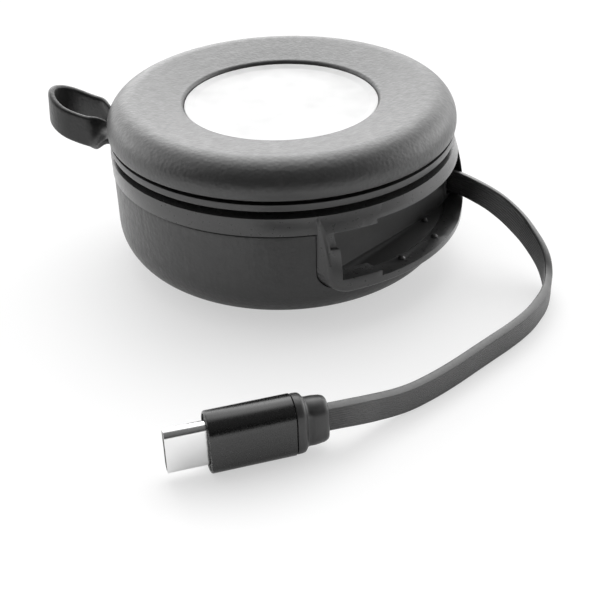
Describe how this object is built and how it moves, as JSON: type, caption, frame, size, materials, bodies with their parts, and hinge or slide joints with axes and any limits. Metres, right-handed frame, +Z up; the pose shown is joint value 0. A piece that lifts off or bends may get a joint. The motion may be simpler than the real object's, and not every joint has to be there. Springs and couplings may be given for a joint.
{
  "type": "wireless charger",
  "caption": "Round leather-covered wireless charging puck with a recessed charging disc, a plug bay in its side, a strap loop and a flat pull-out USB-C cable.",
  "frame": {"origin": "centre of the foot pad's underside, on the surface the puck stands on", "axes": "+Z up through the middle of the charging disc, -Y towards the front, +X to the right; the plug bay faces between +X and -Y"},
  "size_m": [0.0979, 0.1093, 0.0333],
  "materials": {
    "foot_rubber": "fine matte rubber",
    "housing_plastic": "fine matte moulding",
    "band_plastic": "satin moulding",
    "leather": "pebble grain",
    "white_disc": "smooth matte",
    "dark_plastic": "matte moulding",
    "sleeve_gloss": "satin gloss",
    "plug_steel": "nickel plate",
    "screw_steel": "zinc plate",
    "spring_steel": "tempered strip",
    "contact_brass": "plated contact",
    "copper": "lacquered wire",
    "ferrite": "sintered",
    "board_green": "solder mask",
    "chip_black": "moulded package",
    "reel_plastic": "low friction moulding",
    "cable_jacket": "finely ribbed jacket",
    "pad_foam": "moulded foam"
  },
  "bodies": {
    "housing": {"foot_pad": "foot_rubber", "base_cup": "housing_plastic", "side_leather": "leather", "bezel_band": "band_plastic", "bay_liner": "band_plastic", "cable_guide": "dark_plastic", "mid_plate": "housing_plastic", "mid_screws": "screw_steel", "top_carrier": "housing_plastic", "carrier_screws": "screw_steel", "pad_core": "pad_foam", "top_leather": "leather", "charging_disc": "white_disc", "charging_coil": "copper", "ferrite_plate": "ferrite", "circuit_board": "board_green", "board_parts": "chip_black", "board_screws": "screw_steel", "centre_post": "screw_steel", "power_spring": "spring_steel", "contact_fingers": "contact_brass", "pawl_pin": "screw_steel", "pawl_spring": "spring_steel", "strap_loop": "leather", "strap_pins": "screw_steel", "flat_cable": "cable_jacket", "plug_shell": "plug_steel", "plug_contacts": "contact_brass", "plug_core": "dark_plastic", "plug_sleeve": "sleeve_gloss", "plug_overmould": "dark_plastic"},
    "reel": {"reel": "reel_plastic", "reel_cap": "reel_plastic", "wound_cable": "cable_jacket", "spring_cover": "reel_plastic", "contact_rings": "contact_brass"},
    "pawl": {"pawl": "reel_plastic"}
  },
  "joints": [
    {"name": "reel_turn", "type": "hinge", "parent": "housing", "child": "reel", "pos_m": [0, 0, 0.015], "axis": [0, 0, 1], "range_deg": [-2160, 270], "deforming": ["power_spring"]},
    {"name": "pawl_swing", "type": "hinge", "parent": "housing", "child": "pawl", "pos_m": [-0.01085, 0.02505, 0.0183], "axis": [0, 0, 1], "range_deg": [-12, 0], "deforming": ["pawl_spring"]}
  ]
}
